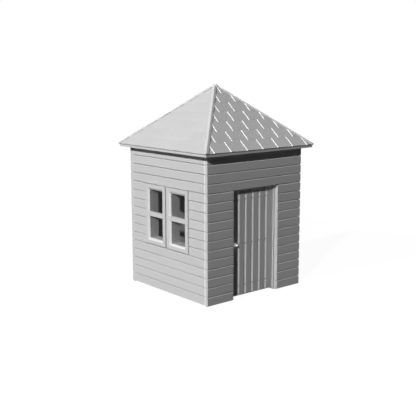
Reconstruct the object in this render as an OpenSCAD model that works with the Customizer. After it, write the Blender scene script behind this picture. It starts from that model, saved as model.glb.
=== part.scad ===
// Guard booth: a square timber hut with a pyramid roof, a boarded door in the front wall and a
// pair of windows in each side wall. Millimetres, +Z up. The origin is the centre of the footprint
// on the ground, and the front wall faces -Y.

/* [Body] */
// Side of the square plan, over the cladding
body_side = 2280; // [2000:10:2800]
// Height of one cladding board
board_h = 165; // [137:1:198]
// Number of cladding boards in the height of a wall
wall_boards = 16; // [14:1:19]
// Thickness of the cladding boards
clad_t = 74; // [62:1:88]
// Thickness of the framed and lined wall behind the cladding
core_t = 116; // [97:1:139]
// Thickness of the floor deck
floor_t = 36; // [30:1:39]

/* [Doorway] */
// Width of the doorway through the front wall
door_open_w = 1086; // [900:1:1304]
// Height of the doorway above the ground
door_open_h = 1993; // [1800:1:2100]
// Depth of the front reveal, from the cladding face to the door frame
frame_setback = 70; // [50:1:84]
// Width of the door stop, which shows as the frame
stop_w = 35; // [28:1:42]
// Thickness of the door stop, front to back
stop_t = 27; // [20:1:33]
// Thickness of the jamb lining behind the stop
lining_t = 13; // [10:1:16]
// Running clearance all round the door leaf
leaf_gap = 5; // [5:0.5:7]
// Thickness of the door leaf
leaf_t = 44; // [36:1:50]
// Height of the foot of the door leaf above the ground
leaf_foot = 45; // [45:1:60]

/* [Door back] */
// Height of each ledge, a board across the back of the door
ledge_h = 120; // [90:1:144]
// Thickness of the ledges and the braces
ledge_t = 25; // [20:1:30]
// Distance from the edges of the leaf to the ends of the ledges
ledge_inset = 46; // [44:1:60]
// Height from the foot of the leaf to the middle of the lowest ledge
ledge_end = 170; // [120:1:204]
// Width of a brace, measured along the ledge that it meets
brace_w = 130; // [90:1:156]
// Distance from the end of a ledge to the foot of a brace
brace_inset = 50; // [20:1:60]

/* [Door furniture] */
// Diameter of the round door knobs
knob_d = 50; // [42:1:60]
// Height of the knobs above the ground
knob_z = 988; // [900:1:1100]
// Distance from the closing edge of the leaf to the knob
knob_backset = 110; // [95:1:130]
// Distance from a rose to the middle of its knob
knob_reach = 33; // [30:1:40]
// Diameter of the knob neck
neck_d = 20; // [16:1:24]
// Diameter of the spindle
spindle_d = 9; // [8:0.5:10.5]
// Diameter of the rose behind each knob
rose_d = 58; // [50:1:70]
// Thickness of a rose
rose_t = 5; // [4:0.5:6]
// Height of a butt hinge
hinge_h = 102; // [90:1:122]
// Diameter of the hinge barrel
barrel_d = 13; // [11:0.5:15]
// Diameter of the hinge pin
pin_d = 6; // [5:0.5:7]
// Thickness of the hinge plates
plate_t = 3; // [2.5:0.1:3.6]
// Width of the hinge plate on the door, from the pin
door_plate_w = 38; // [30:1:40]
// Depth of the hinge plate on the frame, from the pin
frame_plate_w = 31; // [25:1:32]
// Distance from the ends of the leaf to the middle of the nearest hinge
hinge_end = 330; // [300:1:400]

/* [Windows] */
// Width of a window opening
win_w = 400; // [333:1:480]
// Height of a window opening
win_h = 919; // [766:1:950]
// Height of the foot of the window opening above the ground
win_foot = 963; // [850:1:1050]
// Width of the casing beside an opening
casing_side_w = 110; // [92:1:120]
// Width of the casing above and below an opening
casing_end_w = 98; // [82:1:110]
// Thickness of the casing, which stands proud of the cladding
casing_t = 33; // [28:1:40]
// Gap between the casings of the two windows in a wall
casing_gap = 36; // [20:1:44]
// Height of the rail across the middle of a window
rail_h = 83; // [60:1:100]
// Height of the middle of the rail above the foot of the opening
rail_up = 467; // [400:1:500]
// Depth of the rail behind the cladding face
rail_in = 27; // [22:1:32]
// Thickness of the glass
glass_t = 4; // [3:0.5:6]
// Depth of the glass behind the cladding face
glass_in = 12; // [8:1:16]

/* [Roof] */
// Reach of the roof past the cladding
eave_reach = 165; // [138:1:198]
// Height of the roof's edge above the top of the walls
eave_rise = 58; // [52:1:70]
// Pitch of the roof
roof_pitch = 40; // [34:0.5:46]
// Thickness of the tiles, which shows at the roof's edge
tile_t = 33; // [28:1:38]
// Thickness of the fascia boards
fascia_t = 22; // [18:1:26]
// Distance that the fascia hangs below the soffit
fascia_drop = 5; // [3:1:10]
// Thickness of the soffit boards and the ceiling
soffit_t = 12; // [10:1:14]
// Lap of the ceiling over the walls
ceiling_lap = 60; // [40:1:90]
// Width of the boards that cap the hips
hip_cap_w = 75; // [63:1:84]
// Height of the hip caps above the hip line
hip_cap_rise = 8; // [6:1:12]
// Width of the cap on the roof's point
apex_cap_w = 86; // [85:1:110]
// Height of that cap above the roof's point
apex_cap_rise = 2; // [2:1:20]

/* [Hidden] */
$fn = 48;
SLACK = 0.3;            // clearance of a piece that drops into its place
PIN_SLACK = 0.1;        // radial clearance of a hinge pin or the spindle
BARREL_GAP = 0.5;       // clearance between a hinge barrel and the lining
BARREL_LIFT = 1.5;      // clearance between a hinge barrel and the back of the leaf
BORE_OVERRUN = 5;       // how far a cutting shape runs past what it cuts
SEAT = 6;               // width of the roof's seat on the soffit
wall_h = board_h * wall_boards;
half = body_side / 2;
wall_t = clad_t + core_t;
core_face = half - clad_t;
inner = half - wall_t;
door_half = door_open_w / 2;

// The door stands behind the stop, and clears it and the lining
frame_y = -half + frame_setback;
stop_back = frame_y + stop_t;
leaf_y = stop_back + leaf_gap;
leaf_back = leaf_y + leaf_t;
ledge_back = leaf_back + ledge_t;
leaf_half = door_half - lining_t - leaf_gap;
leaf_top = door_open_h - lining_t - leaf_gap;
ledge_half = leaf_half - ledge_inset;
ledge_zs = [leaf_foot + ledge_end, knob_z, leaf_top - ledge_end];
knob_x = -leaf_half + knob_backset;
bore_d = spindle_d + 2 * PIN_SLACK;

// The hinges turn about a pin behind the right-hand edge of the leaf
barrel_r = barrel_d / 2;
pin_x = door_half - lining_t - BARREL_GAP - barrel_r;
pin_y = leaf_back + BARREL_LIFT + barrel_r;
knuckle_h = hinge_h / 3;
hinge_zs = [leaf_foot + hinge_end, (leaf_foot + leaf_top) / 2, leaf_top - hinge_end];

// Two windows stand side by side, in the middle of each side wall
win_pitch = win_w + 2 * casing_side_w + casing_gap;
win_ys = [-win_pitch / 2, win_pitch / 2];
win_top = win_foot + win_h;
rail_z = win_foot + rail_up;

// The roof's edge is cut square to its slope, and the fascia stands under it
eave_r = half + eave_reach;
eave_z = wall_h + eave_rise;
apex_z = eave_z + eave_r * tan(roof_pitch);
fascia_r = eave_r - tile_t * sin(roof_pitch);
fascia_top = eave_z - tile_t * cos(roof_pitch);
soffit_r = fascia_r - fascia_t;
soffit_top = wall_h + soffit_t;
ceiling_r = inner + ceiling_lap;
hip_pitch = atan(tan(roof_pitch) / sqrt(2));
hip_fall = tan(acos(pow(cos(roof_pitch), 2)) / 2);
hip_len = eave_r * sqrt(2) / cos(hip_pitch);
apex_cap_top = apex_z + apex_cap_rise;

// A block between two corners
module block(low, high) {
    translate(low) cube(high - low);
}

// Copies a left-hand piece to the right
module on_right() {
    mirror([1, 0, 0]) children();
}

// ---- walls ----

module floor_deck() {
    color("#8f8f8c") block([-inner, -inner, 0], [inner, inner, floor_t]);
}

// One side of the front wall, from the corner to the doorway
module front_core_side() {
    color("#b9b9b6") block([-core_face, -core_face, 0], [-door_half, -inner, wall_h]);
}

module front_wall_left() {
    front_core_side();
}

module front_wall_right() {
    on_right() front_core_side();
}

module front_wall_header() {
    color("#b9b9b6") block([-door_half, -core_face, door_open_h], [door_half, -inner, wall_h]);
}

module side_core_below() {
    color("#b9b9b6") block([-core_face, -inner, 0], [-inner, inner, win_foot]);
}

module side_core_above() {
    color("#b9b9b6") block([-core_face, -inner, win_top], [-inner, inner, wall_h]);
}

// The posts beside and between the two windows
module side_core_posts() {
    edges = [-inner, win_ys[0] - win_w / 2, win_ys[0] + win_w / 2,
             win_ys[1] - win_w / 2, win_ys[1] + win_w / 2, inner];
    color("#b9b9b6")
    for (i = [0, 2, 4])
        block([-core_face, edges[i], win_foot], [-inner, edges[i + 1], win_top]);
}

module left_wall_below() {
    side_core_below();
}

module left_wall_above() {
    side_core_above();
}

module left_wall_posts() {
    side_core_posts();
}

module right_wall_below() {
    on_right() side_core_below();
}

module right_wall_above() {
    on_right() side_core_above();
}

module right_wall_posts() {
    on_right() side_core_posts();
}

module back_wall() {
    color("#b9b9b6") block([-core_face, inner, 0], [core_face, core_face, wall_h]);
}

// ---- cladding ----

module front_boards_side() {
    color("#c6c6c4") block([-half, -half, 0], [-door_half, -core_face, wall_h]);
}

module front_cladding_left() {
    front_boards_side();
}

module front_cladding_right() {
    on_right() front_boards_side();
}

module front_cladding_header() {
    color("#c6c6c4") block([-door_half, -half, door_open_h], [door_half, -core_face, wall_h]);
}

// The boards of a side wall, cut round its two windows
module side_boards() {
    color("#c6c6c4")
    difference() {
        block([-half, -core_face, 0], [-core_face, core_face, wall_h]);
        for (y = win_ys)
            block([-half - BORE_OVERRUN, y - win_w / 2, win_foot],
                  [-core_face + BORE_OVERRUN, y + win_w / 2, win_top]);
    }
}

module left_cladding() {
    side_boards();
}

module right_cladding() {
    on_right() side_boards();
}

module back_cladding() {
    color("#c6c6c4") block([-half, core_face, 0], [half, half, wall_h]);
}

// ---- door frame ----

// A jamb: the stop in front, and the thinner lining behind it
module jamb() {
    color("#d2d2d0")
    linear_extrude(door_open_h)
    polygon([[-door_half, frame_y], [-door_half + stop_w, frame_y], [-door_half + stop_w, stop_back],
             [-door_half + lining_t, stop_back], [-door_half + lining_t, -inner], [-door_half, -inner]]);
}

module door_jamb_left() {
    jamb();
}

module door_jamb_right() {
    on_right() jamb();
}

module door_head() {
    color("#d2d2d0") {
        block([-door_half + stop_w, frame_y, door_open_h - stop_w],
              [door_half - stop_w, stop_back, door_open_h]);
        block([-door_half + lining_t, stop_back, door_open_h - lining_t],
              [door_half - lining_t, -inner, door_open_h]);
    }
}

// ---- door ----

// The hole for the spindle, along Y
module spindle_bore() {
    translate([knob_x, leaf_y - BORE_OVERRUN, knob_z])
    rotate([-90, 0, 0])
    cylinder(d = bore_d, h = leaf_t + ledge_t + 2 * BORE_OVERRUN);
}

module door_leaf() {
    color("#c6c6c4")
    difference() {
        block([-leaf_half, leaf_y, leaf_foot], [leaf_half, leaf_back, leaf_top]);
        spindle_bore();
    }
}

module door_ledges() {
    color("#bcbcba")
    difference() {
        for (z = ledge_zs)
            block([-ledge_half, leaf_back, z - ledge_h / 2], [ledge_half, ledge_back, z + ledge_h / 2]);
        spindle_bore();
    }
}

// The braces rise from the hinged edge, and meet the ledges face to face
module door_braces() {
    reach = ledge_half - brace_inset;
    color("#bcbcba")
    for (i = [0, 1]) {
        low = ledge_zs[i] + ledge_h / 2;
        high = ledge_zs[i + 1] - ledge_h / 2;
        translate([0, ledge_back, 0])
        rotate([90, 0, 0])
        linear_extrude(ledge_t)
        polygon([[reach - brace_w, low], [reach, low], [-reach + brace_w, high], [-reach, high]]);
    }
}

// A ball knob on a neck: the rose is at the origin, and the knob stands out along -Y
module ball_knob() {
    rotate([90, 0, 0]) translate([0, 0, SLACK]) cylinder(d = neck_d, h = knob_reach);
    translate([0, -knob_reach, 0]) sphere(d = knob_d);
}

// Both knobs turn together on the spindle
module door_knob() {
    color("#dcdcda")
    translate([knob_x, 0, knob_z]) {
        translate([0, leaf_y - rose_t, 0]) ball_knob();
        translate([0, ledge_back + rose_t, 0]) mirror([0, 1, 0]) ball_knob();
        translate([0, leaf_y - rose_t - knob_reach, 0])
        rotate([-90, 0, 0])
        cylinder(d = spindle_d, h = leaf_t + ledge_t + 2 * (rose_t + knob_reach));
    }
}

module knob_roses() {
    color("#dcdcda")
    for (y = [leaf_y - rose_t, ledge_back])
        translate([knob_x, y, knob_z])
        rotate([-90, 0, 0])
        difference() {
            cylinder(d = rose_d, h = rose_t);
            translate([0, 0, -BORE_OVERRUN]) cylinder(d = bore_d, h = rose_t + 2 * BORE_OVERRUN);
        }
}

// One knuckle of a hinge, from z0 to z1 on the pin's line, without its bore
module knuckle(z0, z1) {
    translate([pin_x, pin_y, z0]) cylinder(d = barrel_d, h = z1 - z0);
}

// The bore for the pin, through the whole height of a hinge
module pin_bore() {
    translate([pin_x, pin_y, -hinge_h]) cylinder(d = pin_d + 2 * PIN_SLACK, h = 2 * hinge_h);
}

// The frame plate lies on the lining, with the top and bottom knuckles
module hinge_frame_plates() {
    face = door_half - lining_t;
    color("#8c8c8a")
    for (z = hinge_zs)
        translate([0, 0, z])
        difference() {
            union() {
                block([face - plate_t, pin_y, -hinge_h / 2], [face, pin_y + frame_plate_w, hinge_h / 2]);
                knuckle(-hinge_h / 2, -knuckle_h / 2);
                knuckle(knuckle_h / 2, hinge_h / 2);
            }
            block([face - barrel_d, pin_y - barrel_d, -knuckle_h / 2],
                  [face + BORE_OVERRUN, pin_y + barrel_r + 1, knuckle_h / 2]);
            pin_bore();
        }
}

// The door plate lies on the back of the leaf, with the middle knuckle
module hinge_door_plates() {
    middle = knuckle_h / 2 - SLACK;
    color("#8c8c8a")
    for (z = hinge_zs)
        translate([0, 0, z])
        difference() {
            union() {
                block([pin_x - door_plate_w, leaf_back, -hinge_h / 2],
                      [pin_x - barrel_r - 2, leaf_back + plate_t, hinge_h / 2]);
                block([pin_x - barrel_r - 2, leaf_back, -middle], [pin_x, leaf_back + plate_t, middle]);
                knuckle(-middle, middle);
            }
            pin_bore();
        }
}

module hinge_pins() {
    head_h = 3;
    color("#8c8c8a")
    for (z = hinge_zs)
        translate([pin_x, pin_y, z - hinge_h / 2]) {
            cylinder(d = pin_d, h = hinge_h + SLACK);
            translate([0, 0, hinge_h + SLACK]) cylinder(d = barrel_d - 2, h = head_h);
        }
}

// ---- windows, drawn for the left wall ----

// The mitred casings, with a bevel round the opening
module casings() {
    wide = win_w / 2 + casing_t;
    tall = win_h / 2 + casing_t;
    middle = win_foot + win_h / 2;
    color("#d2d2d0")
    for (y = win_ys)
        translate([-half, y, middle])
        difference() {
            block([-casing_t, -win_w / 2 - casing_side_w, -win_h / 2 - casing_end_w],
                  [0, win_w / 2 + casing_side_w, win_h / 2 + casing_end_w]);
            intersection() {
                translate([0, 0, -tall])
                linear_extrude(2 * tall)
                polygon([[-casing_t, -wide], [0, -win_w / 2], [0, win_w / 2], [-casing_t, wide]]);
                rotate([90, 0, 0])
                translate([0, 0, -wide])
                linear_extrude(2 * wide)
                polygon([[-casing_t, -tall], [0, -win_h / 2], [0, win_h / 2], [-casing_t, tall]]);
            }
        }
}

// The rails fill the bevel at their ends, flush with the face of the casing
module rails() {
    wide = win_w / 2 + casing_t;
    color("#d2d2d0")
    for (y = win_ys)
        translate([-half, y, rail_z - rail_h / 2])
        linear_extrude(rail_h)
        polygon([[-casing_t, -wide], [0, -win_w / 2], [rail_in, -win_w / 2],
                 [rail_in, win_w / 2], [0, win_w / 2], [-casing_t, wide]]);
}

// One pane above and one below each rail
module panes() {
    spans = [[win_foot, rail_z - rail_h / 2], [rail_z + rail_h / 2, win_top]];
    color("#c8d4d6", 0.35)
    for (y = win_ys)
        for (span = spans)
            block([-half + glass_in, y - win_w / 2 + SLACK, span[0] + SLACK],
                  [-half + glass_in + glass_t, y + win_w / 2 - SLACK, span[1] - SLACK]);
}

module left_window_casings() {
    casings();
}

module left_window_rails() {
    rails();
}

module left_window_glass() {
    panes();
}

module right_window_casings() {
    on_right() casings();
}

module right_window_rails() {
    on_right() rails();
}

module right_window_glass() {
    on_right() panes();
}

// ---- ceiling, soffit and roof ----

module ceiling() {
    color("#c9c9c6") block([-ceiling_r, -ceiling_r, wall_h], [ceiling_r, ceiling_r, soffit_top]);
}

module soffit_front_back() {
    color("#c9c9c6")
    for (turn = [0, 180])
        rotate(turn)
        block([-soffit_r, -soffit_r, wall_h], [soffit_r, -ceiling_r, soffit_top]);
}

module soffit_sides() {
    color("#c9c9c6")
    for (turn = [0, 180])
        rotate(turn)
        block([-soffit_r, -ceiling_r, wall_h], [-ceiling_r, ceiling_r, soffit_top]);
}

// The front quarter of a shape that runs round the roof: outline gives its distance out from the
// middle and its height, and the ends are mitred on the hips
module front_quarter(outline) {
    intersection() {
        rotate([0, 0, 180])
        translate([-eave_r, 0, 0])
        rotate([90, 0, 90])
        linear_extrude(2 * eave_r)
        polygon(outline);
        linear_extrude(apex_z + BORE_OVERRUN)
        polygon([[0, 0], [-2 * eave_r, -2 * eave_r], [2 * eave_r, -2 * eave_r]]);
    }
}

// The top of the fascia follows the underside of the tiles
module fascia() {
    color("#c6c6c4")
    front_quarter([[soffit_r, wall_h - fascia_drop], [fascia_r, wall_h - fascia_drop],
                   [fascia_r, fascia_top], [soffit_r, fascia_top + fascia_t * tan(roof_pitch)]]);
}

module fascia_front_back() {
    fascia();
    rotate(180) fascia();
}

module fascia_sides() {
    rotate(90) fascia();
    rotate(-90) fascia();
}

// One slope: tiles that end in a square-cut edge, and the deck under them, seated on the soffit
module slope() {
    seat_r = soffit_r - SEAT;
    under_z = soffit_top + seat_r * tan(roof_pitch);
    color("#b4b4b2")
    front_quarter([[eave_r, eave_z], [fascia_r, fascia_top],
                   [soffit_r, fascia_top + fascia_t * tan(roof_pitch)], [soffit_r, soffit_top],
                   [seat_r, soffit_top], [0, under_z], [0, apex_z]]);
}

module roof_front() {
    slope();
}

module roof_back() {
    rotate(180) slope();
}

module roof_left() {
    rotate(-90) slope();
}

module roof_right() {
    rotate(90) slope();
}

// The space under the four slopes' top faces, raised by lift
module roof_envelope(lift) {
    outline = [[-eave_r, eave_z + lift], [0, apex_z + lift], [eave_r, eave_z + lift], [0, 0]];
    intersection() {
        rotate([90, 0, 0]) translate([0, 0, -eave_r]) linear_extrude(2 * eave_r) polygon(outline);
        rotate([90, 0, 90]) translate([0, 0, -eave_r]) linear_extrude(2 * eave_r) polygon(outline);
    }
}

// A square post up the middle of the roof, up to top, turned to face the hips
module apex_post(width, top) {
    translate([0, 0, wall_h])
    linear_extrude(top - wall_h)
    rotate(45)
    square(width, center = true);
}

// A flat board on each hip, notched underneath to sit on both slopes
module hip_caps() {
    side = hip_cap_w / 2;
    foot = -side * hip_fall;
    color("#d0d0ce")
    for (turn = [45, 135, 225, 315])
        difference() {
            intersection() {
                translate([0, 0, apex_z + SLACK])
                rotate([0, hip_pitch, turn])
                rotate([90, 0, 90])
                linear_extrude(hip_len)
                polygon([[0, 0], [side, foot], [side, hip_cap_rise], [-side, hip_cap_rise], [-side, foot]]);
                block([-eave_r, -eave_r, wall_h], [eave_r, eave_r, apex_z + hip_cap_w]);
            }
            apex_post(apex_cap_w + 2 * SLACK, apex_z + hip_cap_w);
        }
}

module apex_cap() {
    color("#d0d0ce")
    difference() {
        apex_post(apex_cap_w, apex_cap_top);
        roof_envelope(SLACK);
    }
}

floor_deck();
front_wall_left();
front_wall_right();
front_wall_header();
left_wall_below();
left_wall_above();
left_wall_posts();
right_wall_below();
right_wall_above();
right_wall_posts();
back_wall();
front_cladding_left();
front_cladding_right();
front_cladding_header();
left_cladding();
right_cladding();
back_cladding();
door_jamb_left();
door_jamb_right();
door_head();
door_leaf();
door_ledges();
door_braces();
door_knob();
knob_roses();
hinge_frame_plates();
hinge_door_plates();
hinge_pins();
left_window_casings();
left_window_rails();
left_window_glass();
right_window_casings();
right_window_rails();
right_window_glass();
ceiling();
soffit_front_back();
soffit_sides();
fascia_front_back();
fascia_sides();
roof_front();
roof_back();
roof_left();
roof_right();
hip_caps();
apex_cap();
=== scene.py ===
"""Guard booth: boards, tiles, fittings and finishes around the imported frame, in metres in its frame."""
import itertools
import math
import random

import bmesh
import bpy
from mathutils import Matrix, Vector


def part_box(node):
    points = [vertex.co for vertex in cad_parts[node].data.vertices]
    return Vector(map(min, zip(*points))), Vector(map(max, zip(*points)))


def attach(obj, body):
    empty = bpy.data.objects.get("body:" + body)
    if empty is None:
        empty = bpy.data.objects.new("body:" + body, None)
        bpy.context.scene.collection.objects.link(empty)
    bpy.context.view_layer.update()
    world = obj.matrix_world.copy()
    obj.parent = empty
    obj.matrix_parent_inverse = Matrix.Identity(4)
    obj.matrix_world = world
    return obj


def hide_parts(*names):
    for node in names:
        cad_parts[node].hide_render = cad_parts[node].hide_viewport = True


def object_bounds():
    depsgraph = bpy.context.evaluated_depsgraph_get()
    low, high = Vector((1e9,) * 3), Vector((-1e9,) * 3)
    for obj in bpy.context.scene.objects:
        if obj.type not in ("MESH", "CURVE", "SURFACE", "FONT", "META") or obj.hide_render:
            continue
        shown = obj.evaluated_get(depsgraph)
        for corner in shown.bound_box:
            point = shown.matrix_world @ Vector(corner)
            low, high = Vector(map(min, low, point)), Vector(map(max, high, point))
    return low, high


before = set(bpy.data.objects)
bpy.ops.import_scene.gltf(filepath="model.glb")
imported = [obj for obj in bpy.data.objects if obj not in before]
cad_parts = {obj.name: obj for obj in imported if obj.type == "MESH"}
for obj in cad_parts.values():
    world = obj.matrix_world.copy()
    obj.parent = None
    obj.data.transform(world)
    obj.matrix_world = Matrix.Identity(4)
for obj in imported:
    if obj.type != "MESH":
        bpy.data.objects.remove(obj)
CAD_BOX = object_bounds()
MM = 0.001

# ---- sizes ----

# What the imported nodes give
FRONT_LOW, FRONT_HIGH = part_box("front_cladding_left")
HALF = -FRONT_LOW.x  # half the side of the plan
CLAD = FRONT_HIGH.y - FRONT_LOW.y  # thickness of a cladding board
WALL_TOP = FRONT_HIGH.z
DOOR_HALF = -FRONT_HIGH.x
DOOR_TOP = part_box("front_cladding_header")[0].z
CORE_FACE = HALF - CLAD
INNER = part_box("floor_deck")[1].x
FLOOR_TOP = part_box("floor_deck")[1].z
WINDOW_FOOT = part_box("left_wall_below")[1].z
WINDOW_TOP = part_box("left_wall_above")[0].z
LEAF_LOW, LEAF_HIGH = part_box("door_leaf")
LEDGE_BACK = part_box("door_ledges")[1].y
CASING_LOW, CASING_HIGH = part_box("left_window_casings")
EAVE = CAD_BOX[1].x  # half the side of the roof's edge
SOFFIT_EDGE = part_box("soffit_front_back")[1].x
SOFFIT_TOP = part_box("soffit_sides")[1].z
ROSE_LOW, ROSE_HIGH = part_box("knob_roses")
KNOB_X = (ROSE_LOW.x + ROSE_HIGH.x) / 2
KNOB_Z = (ROSE_LOW.z + ROSE_HIGH.z) / 2
SPINDLE = Vector((KNOB_X, 0, KNOB_Z))
PIN_LOW, PIN_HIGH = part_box("hinge_pins")
PIN_X = (PIN_LOW.x + PIN_HIGH.x) / 2
PIN_Y = (PIN_LOW.y + PIN_HIGH.y) / 2
FRAME_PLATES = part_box("hinge_frame_plates")
DOOR_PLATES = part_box("hinge_door_plates")

X, Y, Z = Vector((1, 0, 0)), Vector((0, 1, 0)), Vector((0, 0, 1))
ORIGIN = Vector((0, 0, 0))
QUARTER = math.pi / 2
# Each wall is drawn facing -Y and then turned about Z to its side
TURNS = {"front": 0, "back": 2 * QUARTER, "left": -QUARTER, "right": QUARTER}
# The pale finish is painted light: a paler paint on bevels, reveals and tile risers that stands in for the
# light falling on them
MAIN, PALE = 0, 1  # a face's finish: the piece's own, or its pale edge
THROUGH = 20 * MM  # how far a cutter runs past what it cuts
NEAR = 0.01 * MM  # points closer than this are one point
FLAT = math.radians(0.5)  # faces that meet flatter than this are one face
SHARP = math.radians(20)  # edges sharper than this are rounded
JOINT = 0.3 * MM  # space left between two boards

# Cladding
BOARD_ROWS = 16
BOARD_H = WALL_TOP / BOARD_ROWS
LIP_DEEP = 34 * MM  # a board's lower edge is cut back under, so it drips
LIP_HIGH = 16 * MM
TOP_BEVEL = 9 * MM  # bevel on a board's upper edge
END_BEVEL = 11 * MM  # bevel on each side of the upright joints at the corners
END_EASE = 2 * MM
OVER_DOOR = 13  # the first whole board over the doorway, from 0
UNDER_WINDOW = 5  # whole boards under the windows' casings
OVER_WINDOW = 12  # the first whole board over the casings, from 0
NAIL_IN = 45 * MM  # from a board's upper and lower edge to its nails
STUD = 480 * MM  # from one stud to the next
EDGE_STUD = 37 * MM  # from a wall's edge to the middle of its outer stud
BACK_STUDS = 6
NAIL_R = 4 * MM
NAIL_RISE = 0.9 * MM

# Door and floor
DOOR_JOINTS = (-338.6 * MM, -169.3 * MM, 0, 169.3 * MM, 338.6 * MM)
DOOR_EDGES = (LEAF_LOW.x, *DOOR_JOINTS, LEAF_HIGH.x)
DOOR_V_WIDE = 28 * MM  # each side of the door's V joints
DOOR_V_DEEP = 17 * MM
BACK_BEVEL = 4 * MM
ARRIS = 2 * MM  # rounding of a broad board's edges
THIN_ARRIS = 1.2 * MM  # rounding of a narrow or thin board's edges
PLUG_HEIGHTS = (225 * MM, 990 * MM, 1795 * MM)  # level with the ledges
PLUG_HIGH = 15 * MM
PLUG_SINK = 0.5 * MM  # how far a plug lies below the boards' faces
LEDGE_END = 170 * MM  # from the leaf's foot or head to the nails of a ledge
NAIL_SPREAD = 30 * MM  # half the distance between the nails of one board
BRACE_RUN = Vector((-0.6, 0, 0.8))
FLOOR_BOARDS = 16
FLOOR_JOINT = 1 * MM
FLOOR_EASE = 1.5 * MM

# Windows
CASING_SIDE = 110 * MM
CASING_END = 98 * MM
WINDOW_HALF_W, WINDOW_HALF_H = 200 * MM, (WINDOW_TOP - WINDOW_FOOT) / 2
WINDOW_Y = CASING_HIGH.y - CASING_SIDE - WINDOW_HALF_W
WINDOW_MIDDLE = (WINDOW_FOOT + WINDOW_TOP) / 2

# Roof
PITCH = math.radians(40)
EAVE_Z = WALL_TOP + 58 * MM
TILE_T = 33 * MM
TILE_STEP = 11 * MM  # a tile's left side stands this far above the last tile
TILE_EASE = 7 * MM  # how far that side leans back over its height
FOOT_RUN = 80 * MM  # the worn slope of a tile's foot, above the eave
FOOT_DROP = 4 * MM
TILES_WIDE = 7
COURSES = 7
TILE_SINK = 0.3 * MM  # how far a tile's head lies below the next one's foot
SLOPE = EAVE / math.cos(PITCH)  # length up the middle of a slope
COURSE = SLOPE / COURSES
TILE_W = 2 * EAVE / TILES_WIDE
DECK_SINK = 0.5 * MM  # space left between the deck and its tiles
SEAT = 6 * MM  # how far the deck rests on the soffit
HIP_JOINT = 1 * MM
APEX_Z = EAVE_Z + EAVE * math.tan(PITCH)
CAP_RISE = 8 * MM  # how far a hip cap's middle stands above the hip
CAP_FLAT = 12 * MM  # width of the flat along the middle of a hip cap
CAP_SLOPE = (0.784, 0.621)  # cosine and sine of the planed edges' slope from the flat
CAP_ARRIS = 1 * MM

# Fittings
KNOB_R = 25 * MM
KNOB_REACH = 33 * MM
BALL_ARC, BALL_STEPS = math.radians(150), 15  # the part of the ball that stands clear of its neck
NECK_R = 9 * MM
SPINDLE_R = 4.5 * MM
BORE_R = 4.6 * MM
ROSE_R = 29 * MM
ROSE_T = 5 * MM
ROSE_DISH = 0.5 * MM  # how far a rose is dished round its screws
ROSE_SCREWS = 38 * MM  # from the middle of one of a rose's screws to the other
SCREW_R = 4.2 * MM
SCREW_RISE = 0.6 * MM
HINGE_ZS = (375 * MM, 1010 * MM, 1645 * MM)
HINGE_H = 102 * MM
PLATE_T = 3 * MM
PLATE_EASE = 0.5 * MM
# A plate has two columns of two screws, of which the upper pair is set a little to the side
SCREW_COLUMNS, SCREW_SHIFT, SCREW_START = 11 * MM, 4 * MM, -5 * MM
SCREW_ROWS = HINGE_H - 26 * MM
FRAME_SCREWS_IN, DOOR_SCREWS_IN = 13 * MM, 15 * MM
PIN_R, PIN_HEAD_R = 3 * MM, 5.5 * MM
PIN_CLEAR = 0.3 * MM  # space left between the top knuckle and the pin's head

# Studio
FLOOR_REACH = 60
LAMP_AWAY = 10
# Each lamp: the direction that it stands in, its strength, and how wide it looks, in degrees
LAMPS = {"key": ((-0.781, -0.429, 0.453), 1.60, 1.5), "fill": ((-0.867, 0, 0.498), 1.68, 1.5),
         "bounce": ((-0.995, -0.06, 0.08), 0.14, 20.0), "back": ((0.70, 0.65, 0.30), 1.0, 10.0)}
# The camera: its lens and sensor in mm, how far it sees, where it stands and its three directions
LENS, SENSOR, SIGHT = 65.640, 36.0, 500.0
EYE = Vector((-9.2436, -10.8309, 4.0867))
RIGHTWARD = Vector((0.76636, -0.64240, -0.00248))
UPWARD = Vector((0.11834, 0.13738, 0.98342))
FORWARD = Vector((0.63141, 0.75395, -0.18131))


# ---- nodes and materials ----

def linear(colour):
    """A colour written as sRGB hex, such as #c8c8c4, as Blender's linear values."""
    channels = [int(colour[i:i + 2], 16) / 255 for i in (1, 3, 5)]
    return tuple(c / 12.92 if c <= 0.04045 else ((c + 0.055) / 1.055) ** 2.4 for c in channels) + (1.0,)


def add(tree, kind, inputs=None, **settings):
    """Adds a node with its settings. Inputs maps a socket's name or number to its value or its source."""
    node = tree.nodes.new(kind)
    for name, value in settings.items():
        setattr(node, name, value)
    for key, value in (inputs or {}).items():
        if isinstance(value, bpy.types.NodeSocket):
            tree.links.new(value, node.inputs[key])
        else:
            node.inputs[key].default_value = value
    return node


def reckon(tree, operation, *values, clamp=False):
    """One step of arithmetic on numbers or sockets."""
    return add(tree, "ShaderNodeMath", dict(enumerate(values)), operation=operation,
               use_clamp=clamp).outputs[0]


def scaled_sum(tree, vector, factor, start):
    """A vector times a factor, added to a start."""
    return add(tree, "ShaderNodeVectorMath", {0: vector, 1: factor, 2: start},
               operation="MULTIPLY_ADD").outputs[0]


def noise(tree, place, scale, detail, **more):
    """Noise over a place. A scale for each axis draws it out along the axis with the smallest."""
    if isinstance(scale, tuple):
        place = add(tree, "ShaderNodeMapping", {"Vector": place, "Scale": scale}).outputs[0]
        scale = 1
    return add(tree, "ShaderNodeTexNoise", {"Vector": place, "Scale": scale, "Detail": detail,
                                            **more}).outputs[0]


def ranged(tree, value, low, high, start=0.0, end=1.0):
    """A value that runs from start to end, carried over to run from low to high."""
    return add(tree, "ShaderNodeMapRange", {"Value": value, "From Min": start, "From Max": end,
                                            "To Min": low, "To Max": high}).outputs[0]


def own_figure(tree, jump):
    """The place along the grain, moved on from one board to the next, and the board's tone."""
    along = add(tree, "ShaderNodeAttribute", attribute_name="grain").outputs["Vector"]
    tone = add(tree, "ShaderNodeAttribute", attribute_name="tone").outputs["Fac"]
    return scaled_sum(tree, tone, jump, along), tone


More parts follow.
